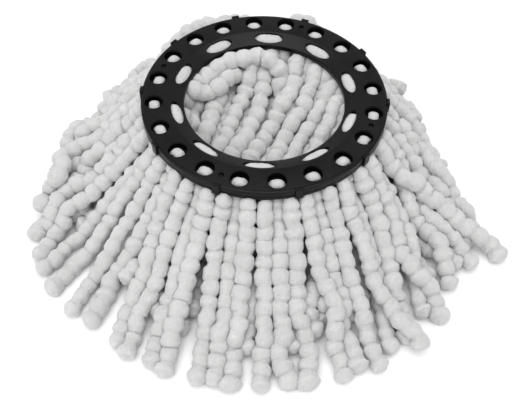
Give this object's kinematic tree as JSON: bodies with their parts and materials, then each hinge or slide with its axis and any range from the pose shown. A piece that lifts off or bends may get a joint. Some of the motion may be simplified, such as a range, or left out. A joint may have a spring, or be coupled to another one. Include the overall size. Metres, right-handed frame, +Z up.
{
  "type": "spin mop head",
  "caption": "Round mop head: a black two-part snap ring with holes and windows, and white beaded microfibre strands splayed on the floor.",
  "frame": {"origin": "on the floor, under the middle of the footprint of the strands", "axes": "+Z up along the ring's axis, -Y towards the front, where the strands trail long, +X to the right seen from the front"},
  "size_m": [0.3246, 0.3228, 0.066],
  "materials": {
    "ring_plastic": "satin black moulded polypropylene",
    "microfibre": "soft white beaded chenille"
  },
  "bodies": {
    "head": {"upper_ring": "ring_plastic", "lower_ring": "ring_plastic", "fold_01": "microfibre", "fold_02": "microfibre", "fold_03": "microfibre", "fold_04": "microfibre", "fold_05": "microfibre", "fold_06": "microfibre", "fold_07": "microfibre", "fold_08": "microfibre", "fold_09": "microfibre", "fold_10": "microfibre", "fold_11": "microfibre", "fold_12": "microfibre", "fold_13": "microfibre", "fold_14": "microfibre", "fold_15": "microfibre", "fold_16": "microfibre", "fold_17": "microfibre", "fold_18": "microfibre", "fold_19": "microfibre", "fold_20": "microfibre", "inner_tuft_01": "microfibre", "inner_tuft_02": "microfibre", "inner_tuft_03": "microfibre", "inner_tuft_04": "microfibre", "inner_tuft_05": "microfibre", "inner_tuft_06": "microfibre", "inner_tuft_07": "microfibre", "inner_tuft_08": "microfibre", "inner_tuft_09": "microfibre", "inner_tuft_10": "microfibre"},
    "tails_01": {"tuft_01": "microfibre"},
    "tails_02": {"tuft_02": "microfibre"},
    "tails_03": {"tuft_03": "microfibre"},
    "tails_04": {"tuft_04": "microfibre"},
    "tails_05": {"tuft_05": "microfibre"},
    "tails_06": {"tuft_06": "microfibre"},
    "tails_07": {"tuft_07": "microfibre"},
    "tails_08": {"tuft_08": "microfibre"},
    "tails_09": {"tuft_09": "microfibre"},
    "tails_10": {"tuft_10": "microfibre"},
    "tails_11": {"tuft_11": "microfibre"},
    "tails_12": {"tuft_12": "microfibre"},
    "tails_13": {"tuft_13": "microfibre"},
    "tails_14": {"tuft_14": "microfibre"},
    "tails_15": {"tuft_15": "microfibre"},
    "tails_16": {"tuft_16": "microfibre"},
    "tails_17": {"tuft_17": "microfibre"},
    "tails_18": {"tuft_18": "microfibre"},
    "tails_19": {"tuft_19": "microfibre"},
    "tails_20": {"tuft_20": "microfibre"}
  },
  "joints": [
    {"name": "tails_01_swing", "type": "hinge", "parent": "head", "child": "tails_01", "pos_m": [0.07865, 0.02259, 0.0511], "axis": [0, -1, 0], "range_deg": [0, 45]},
    {"name": "tails_02_swing", "type": "hinge", "parent": "head", "child": "tails_02", "pos_m": [0.07515, 0.04468, 0.0511], "axis": [0.309, -0.9511, 0], "range_deg": [0, 45]},
    {"name": "tails_03_swing", "type": "hinge", "parent": "head", "child": "tails_03", "pos_m": [0.06499, 0.06462, 0.0511], "axis": [0.5878, -0.809, 0], "range_deg": [0, 45]},
    {"name": "tails_04_swing", "type": "hinge", "parent": "head", "child": "tails_04", "pos_m": [0.04917, 0.08043, 0.0511], "axis": [0.809, -0.5878, 0], "range_deg": [0, 45]},
    {"name": "tails_05_swing", "type": "hinge", "parent": "head", "child": "tails_05", "pos_m": [0.02924, 0.09059, 0.0511], "axis": [0.9511, -0.309, 0], "range_deg": [0, 45]},
    {"name": "tails_06_swing", "type": "hinge", "parent": "head", "child": "tails_06", "pos_m": [0.00715, 0.09409, 0.0511], "axis": [1, 0, 0], "range_deg": [0, 45]},
    {"name": "tails_07_swing", "type": "hinge", "parent": "head", "child": "tails_07", "pos_m": [-0.01495, 0.09059, 0.0511], "axis": [0.9511, 0.309, 0], "range_deg": [0, 45]},
    {"name": "tails_08_swing", "type": "hinge", "parent": "head", "child": "tails_08", "pos_m": [-0.03488, 0.08043, 0.0511], "axis": [0.809, 0.5878, 0], "range_deg": [0, 45]},
    {"name": "tails_09_swing", "type": "hinge", "parent": "head", "child": "tails_09", "pos_m": [-0.0507, 0.06462, 0.0511], "axis": [0.5878, 0.809, 0], "range_deg": [0, 45]},
    {"name": "tails_10_swing", "type": "hinge", "parent": "head", "child": "tails_10", "pos_m": [-0.06086, 0.04468, 0.0511], "axis": [0.309, 0.9511, 0], "range_deg": [0, 45]},
    {"name": "tails_11_swing", "type": "hinge", "parent": "head", "child": "tails_11", "pos_m": [-0.06435, 0.02259, 0.0511], "axis": [0, 1, 0], "range_deg": [0, 45]},
    {"name": "tails_12_swing", "type": "hinge", "parent": "head", "child": "tails_12", "pos_m": [-0.06086, 0.00049, 0.0511], "axis": [-0.309, 0.9511, 0], "range_deg": [0, 45]},
    {"name": "tails_13_swing", "type": "hinge", "parent": "head", "child": "tails_13", "pos_m": [-0.0507, -0.01944, 0.0511], "axis": [-0.5878, 0.809, 0], "range_deg": [0, 45]},
    {"name": "tails_14_swing", "type": "hinge", "parent": "head", "child": "tails_14", "pos_m": [-0.03488, -0.03526, 0.0511], "axis": [-0.809, 0.5878, 0], "range_deg": [0, 45]},
    {"name": "tails_15_swing", "type": "hinge", "parent": "head", "child": "tails_15", "pos_m": [-0.01495, -0.04541, 0.0511], "axis": [-0.9511, 0.309, 0], "range_deg": [0, 45]},
    {"name": "tails_16_swing", "type": "hinge", "parent": "head", "child": "tails_16", "pos_m": [0.00715, -0.04891, 0.0511], "axis": [-1, 0, 0], "range_deg": [0, 45]},
    {"name": "tails_17_swing", "type": "hinge", "parent": "head", "child": "tails_17", "pos_m": [0.02924, -0.04541, 0.0511], "axis": [-0.9511, -0.309, 0], "range_deg": [0, 45]},
    {"name": "tails_18_swing", "type": "hinge", "parent": "head", "child": "tails_18", "pos_m": [0.04917, -0.03526, 0.0511], "axis": [-0.809, -0.5878, 0], "range_deg": [0, 45]},
    {"name": "tails_19_swing", "type": "hinge", "parent": "head", "child": "tails_19", "pos_m": [0.06499, -0.01944, 0.0511], "axis": [-0.5878, -0.809, 0], "range_deg": [0, 45]},
    {"name": "tails_20_swing", "type": "hinge", "parent": "head", "child": "tails_20", "pos_m": [0.07515, 0.00049, 0.0511], "axis": [-0.309, -0.9511, 0], "range_deg": [0, 45]}
  ]
}
